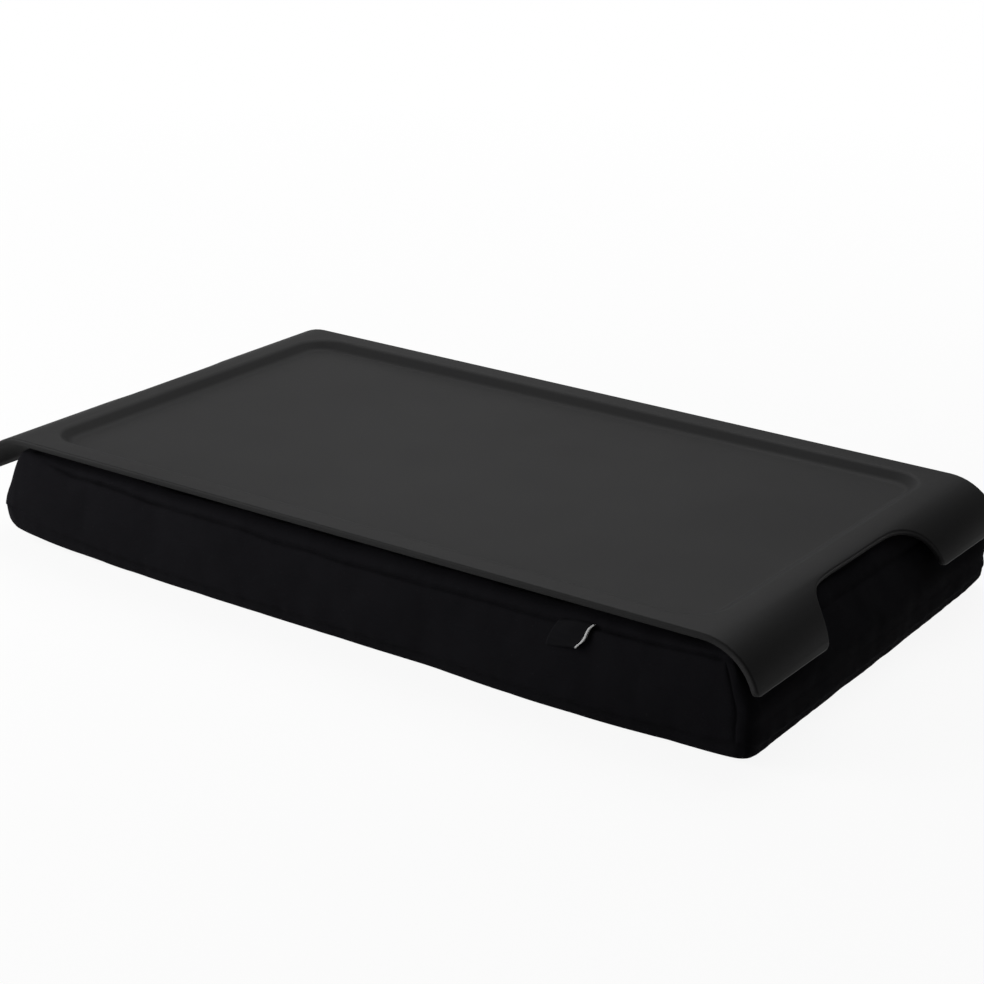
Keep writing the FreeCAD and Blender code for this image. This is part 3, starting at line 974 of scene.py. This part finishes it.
def pucker(thing, line):
    """Gathers the cloth in little ridges across its seams, and dents it softly between them;
    also paints shade along the seams into the cloth's colour.
    """
    tree = KDTree(len(line))
    for number, (place, _) in enumerate(line):
        tree.insert(place, number)
    tree.balance()
    points = coordinates(thing)
    normals = vertex_normals(thing)
    painted_shade = np.empty(len(points))
    push = np.empty(len(points))
    for number, (x, y, z) in enumerate(points):
        _, nearest, far = tree.find((x, y, z))
        ridge = noise.noise(Vector((x * 230, y * 230, z * 20)))
        gather = GATHER * ridge * math.exp(-((far / GATHER_REACH) ** 2))
        dent = DENT * noise.noise(Vector((x * 38, y * 38, z * 45 + 5)))
        dent += SMALL_DENT * noise.noise(Vector((x * 105, y * 105, z * 90 + 8)))
        free = 1.0
        if y > HALF_Y - BACK_DEPTH:
            free = smoothstep(PLAIN_BY_ZIP, GATHERED_BY_ZIP, abs(z - ZIP_Z))
        push[number] = (gather + dent) * free * smoothstep(0.0, FLAT_BASE, z)
        # painted shade, unevenly strong, fading away from the nearest seam
        uneven = 0.75 + 0.5 * noise.noise(Vector((x * 90, y * 90, 3.0)))
        painted_shade[number] = line[nearest][1] * uneven * math.exp(-((far / PAINTED_SHADE_REACH) ** 2))
    points += normals * push[:, None]
    keep_below_tray(points)
    set_coordinates(thing, points)
    layer = thing.data.attributes.new(PAINTED_SEAM_SHADE_LAYER, "FLOAT", "POINT")
    layer.data.foreach_set("value", painted_shade)


def crease_rows(thing, rows):
    """Keeps the edges along each seam crisp under subdivision, least at the slack end."""
    mesh = thing.data
    layer = mesh.attributes.new("crease_edge", "FLOAT", "EDGE")
    row_of = {}
    for row_number, row in enumerate(rows):
        for number in row:
            row_of[number] = row_number
    values = []
    for edge in mesh.edges:
        first, second = (row_of.get(number, -1) for number in edge.vertices)
        x = mesh.vertices[edge.vertices[0]].co.x - COVER_X
        amount = SEAM_CREASE * (1.0 - CREASE_LOSS * slackness(x))
        values.append(amount if first >= 0 and first == second else 0.0)
    layer.data.foreach_set("value", values)


# ------------------------------------------------------------------ label

LABEL_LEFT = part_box("label")[0].x
LABEL_TOP_Z = 39.3 * MM
LABEL_TOP_RISE = 1.9 * MM  # the seam is that much higher at the cut end
LABEL_FOLD_Z = 27.2 * MM
LABEL_FOLD_RISE = 3.7 * MM
LABEL_FRONT_Y = -118.9 * MM
LABEL_LEAN = 3.0 * MM  # how much further in the ribbon starts than it hangs
LABEL_SET = 1.1 * MM
LABEL_ASKEW = 4.6 * MM
LABEL_FLARE = 1.5 * MM  # how far the cut end stands out at the fold
LABEL_BELLY = 0.35 * MM
RIBBON = 0.3 * MM
RIBBON_GAP = 0.5 * MM
CUT_END = 0.945  # a pale strip runs from here across the ribbon to just past its end
CUT_END_PAST = 1.004
CUT_END_LIFT = 0.12 * MM


def label_left_edge(down):
    """The ribbon is sewn in a little askew: its left edge leans out towards the fold."""
    return LABEL_LEFT + LABEL_SET + LABEL_ASKEW * (1 - down) ** 1.6


def label_right_edge(down):
    """The cut end has an S curve: it leans in, drops, and leans in again at the fold."""
    parts = np.array([0.0, 0.15, 0.31, 0.50, 0.63, 0.77, 0.89, 1.0])
    places = np.array([137.0, 135.5, 134.9, 134.6, 134.1, 133.1, 131.7, 131.0]) * MM
    return float(np.interp(down, parts, places))


def label_point(across, down, layer):
    """A place on the folded ribbon: across from its left edge, down from the seam."""
    top_z = LABEL_TOP_Z + LABEL_TOP_RISE * smoothstep(0.0, 0.6, across)
    fold_z = LABEL_FOLD_Z + LABEL_FOLD_RISE * across
    z = top_z + (fold_z - top_z) * down
    left = label_left_edge(down)
    x = left + (label_right_edge(down) - left) * across
    flare = LABEL_FLARE * across**3 * down**1.5
    belly = LABEL_BELLY * math.sin(math.pi * across)
    y = LABEL_FRONT_Y + LABEL_LEAN * (1 - down) ** 2 - flare - belly
    return x, y + layer * RIBBON_GAP, z


def ribbon_grid(name, across_low, across_high, columns, material, lift=0.0):
    """Front layer down to the fold, and the back layer up again."""
    rows = 14
    path = [(k / rows, 0) for k in range(rows + 1)]
    path += [(1 - k / rows, 1) for k in range(rows + 1)]
    points = []
    for down, layer in path:
        for k in range(columns + 1):
            across = across_low + (across_high - across_low) * k / columns
            x, y, z = label_point(across, down, layer)
            points.append((x, y - lift * (1 - 2 * layer), z))
    wide = columns + 1
    faces = [
        [row * wide + k, row * wide + k + 1, (row + 1) * wide + k + 1, (row + 1) * wide + k]
        for row in range(len(path) - 1)
        for k in range(columns)
    ]
    thing = new_mesh_object(name, points, faces, material)
    body = thing.modifiers.new("thickness", "SOLIDIFY")
    body.thickness = RIBBON
    body.offset = 0.0
    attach(thing, "cushion")
    return thing


def label(materials):
    """The bare label, and a pale strip along its cut end."""
    ribbon_piece = ribbon_grid("label_ribbon", 0.0, 1.0, 24, materials["label_ribbon"])
    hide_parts("label")
    pale_cut_end = materials["label_pale_cut_end"]
    ribbon_grid("label_cut_end", CUT_END, CUT_END_PAST, 3, pale_cut_end, CUT_END_LIFT)


# ------------------------------------------------------------------ stitching

STITCH = 2.6 * MM
STITCH_GAP = 1.1 * MM
THREAD = 0.28 * MM
STITCH_ASIDE = 1.8 * MM  # from the slot to its rows of stitches
STITCH_LIFT = 0.05 * MM


def stitch_row(points, faces, start_x, end_x, y, z):
    """Adds a row of short raised stitches to a mesh."""
    count = int((end_x - start_x) / (STITCH + STITCH_GAP))
    rings = 5
    sides = 6
    for number in range(count):
        left = start_x + number * (STITCH + STITCH_GAP)
        base = len(points)
        for ring in range(rings):
            part = ring / (rings - 1)
            bow = math.sin(math.pi * part)
            radius = THREAD * (0.35 + 0.65 * bow**0.5)
            x = left + STITCH * part
            middle_y = y + THREAD * 0.9 * bow - THREAD * 0.5
            for side in range(sides):
                turn = 2 * math.pi * side / sides
                across = radius * math.cos(turn)
                points.append((x, middle_y + across, z + radius * math.sin(turn)))
        for ring in range(rings - 1):
            for side in range(sides):
                a = base + ring * sides + side
                b = base + ring * sides + (side + 1) % sides
                faces.append([a, b, b + sides, a + sides])


def zip_stitching(materials):
    """Topstitching that holds the zip's tapes, above and below the slot."""
    points = []
    faces = []
    for side in (-1, 1):
        z = ZIP_Z + side * (SLOT_HALF_Z + STITCH_ASIDE)
        start_x = COVER_X - SLOT_HALF_X
        end_x = COVER_X + SLOT_HALF_X
        stitch_row(points, faces, start_x, end_x, back_face_y(z), z)
    thing = new_mesh_object("zip_stitching", points, faces, materials["thread"])
    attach(thing, "cushion")


def back_face_y(z):
    """Where the stitches lie on the cushion's back at a height."""
    return HALF_Y - float(side_inset_y(z)) + STITCH_LIFT


# ------------------------------------------------------------------ stage

CAMERA_PLACE = Vector((0.6094, -0.8928, 0.4366))
CAMERA_AZIMUTH = math.radians(34.05)
CAMERA_PITCH = math.radians(20.43)
CAMERA_ROLL = math.radians(1.38)
CAMERA_LENS = 88.24
FLOOR_REACH = 30.0
WORLD_STRENGTH = 0.09

# name, place, what it points at, width, height, power
LAMPS = [
    ("top_light", (-0.30, 0.75, 1.30), (0, 0, 0), 1.3, 1.1, 13.0),
    ("front_light", (-0.70, -0.85, 0.20), (-0.05, 0, 0.02), 0.6, 0.3, 3.4),
    ("high_front_light", (-0.72, -0.50, 0.52), (-0.1, 0, 0), 0.5, 0.4, 4.4),
    ("back_light", (-1.5, 1.5, 0.75), (0, 0, 0), 1.6, 0.9, 2.6),
]


def make_camera():
    """The camera, at the photo's angle."""
    data = bpy.data.cameras.new("camera")
    data.sensor_width = 36.0
    data.lens = CAMERA_LENS
    data.clip_start = 0.05
    data.clip_end = 50.0
    camera = bpy.data.objects.new("camera", data)
    bpy.context.scene.collection.objects.link(camera)
    a, e, tilt = CAMERA_AZIMUTH, CAMERA_PITCH, CAMERA_ROLL
    back = Vector((math.sin(a) * math.cos(e), -math.cos(a) * math.cos(e), math.sin(e)))
    right = (-back).cross(Vector((0, 0, 1))).normalized()
    up = right.cross(-back)
    turned_right = math.cos(tilt) * right + math.sin(tilt) * up
    turned_up = -math.sin(tilt) * right + math.cos(tilt) * up
    turn = Matrix((turned_right, turned_up, back)).transposed()
    camera.matrix_world = Matrix.Translation(CAMERA_PLACE) @ turn.to_4x4()
    bpy.context.scene.camera = camera


def softbox(name, place, aim, width, height, power):
    """A rectangular lamp, turned towards a point."""
    data = bpy.data.lights.new(name, "AREA")
    data.shape = "RECTANGLE"
    data.size = width
    data.size_y = height
    data.energy = power
    lamp = bpy.data.objects.new(name, data)
    lamp.location = place
    lamp.rotation_mode = "QUATERNION"
    lamp.rotation_quaternion = (Vector(aim) - Vector(place)).to_track_quat("-Z", "Y")
    bpy.context.scene.collection.objects.link(lamp)


def seen_directly(n):
    """1 for rays that show the background itself: camera, mirror and glass rays."""
    path = n.add("ShaderNodeLightPath")
    seen = n.math("MAXIMUM", path.outputs["Is Camera Ray"], path.outputs["Is Glossy Ray"])
    return n.math("MAXIMUM", seen, path.outputs["Is Transmission Ray"])


def floor_material():
    """White for the camera with a faint shadow kept; a plain pale grey for bounced light."""
    n = Nodes("stage_floor")
    speck = n.noise(40.0, 2.0, 0.5)
    pale = n.mix_colour(speck, rgb(0.93, 0.93, 0.93), rgb(0.95, 0.95, 0.95))
    seen = seen_directly(n)
    colour = n.mix_colour(seen, rgb(0.3, 0.3, 0.3), pale)
    lit = n.shader(Base_Color=colour, Roughness=0.9, Specular_IOR_Level=0.1)
    glow = n.add("ShaderNodeEmission")
    glow.inputs["Color"].default_value = rgb(1.0, 1.0, 1.0)
    glow.inputs["Strength"].default_value = 1.0
    away = n.add("ShaderNodeVectorMath", operation="LENGTH")
    n.link(n.place, away.inputs[0])
    share = n.ramp(away.outputs["Value"], 0.3, 1.1, 0.91, 1.0)
    blend = n.add("ShaderNodeMixShader")
    n.link(n.math("MULTIPLY", seen, share), blend.inputs[0])
    n.link(lit.outputs[0], blend.inputs[1])
    n.link(glow.outputs[0], blend.inputs[2])
    n.link(blend.outputs[0], n.output.inputs["Surface"])
    return n.material


def make_world():
    """Dim even light from all round."""
    world = bpy.data.worlds.new("world")
    bpy.context.scene.world = world
    world.use_nodes = True
    sky = world.node_tree.nodes["Background"]
    sky.inputs["Color"].default_value = rgb(1.0, 1.0, 1.0)
    sky.inputs["Strength"].default_value = WORLD_STRENGTH


def make_stage():
    """A plain floor, the lamps and the world."""
    signs = [(-1, -1), (1, -1), (1, 1), (-1, 1)]
    corners = [(x * FLOOR_REACH, y * FLOOR_REACH, 0) for x, y in signs]
    floor = new_mesh_object("floor", corners, [[0, 1, 2, 3]], floor_material())
    for lamp in LAMPS:
        softbox(*lamp)
    make_world()


bpy.context.scene.view_settings.view_transform = "Standard"
materials = make_materials()
dress_cad_nodes(materials)
smooth_cad_nodes()
cushion_cover(materials)
label(materials)
zip_stitching(materials)
make_camera()
make_stage()
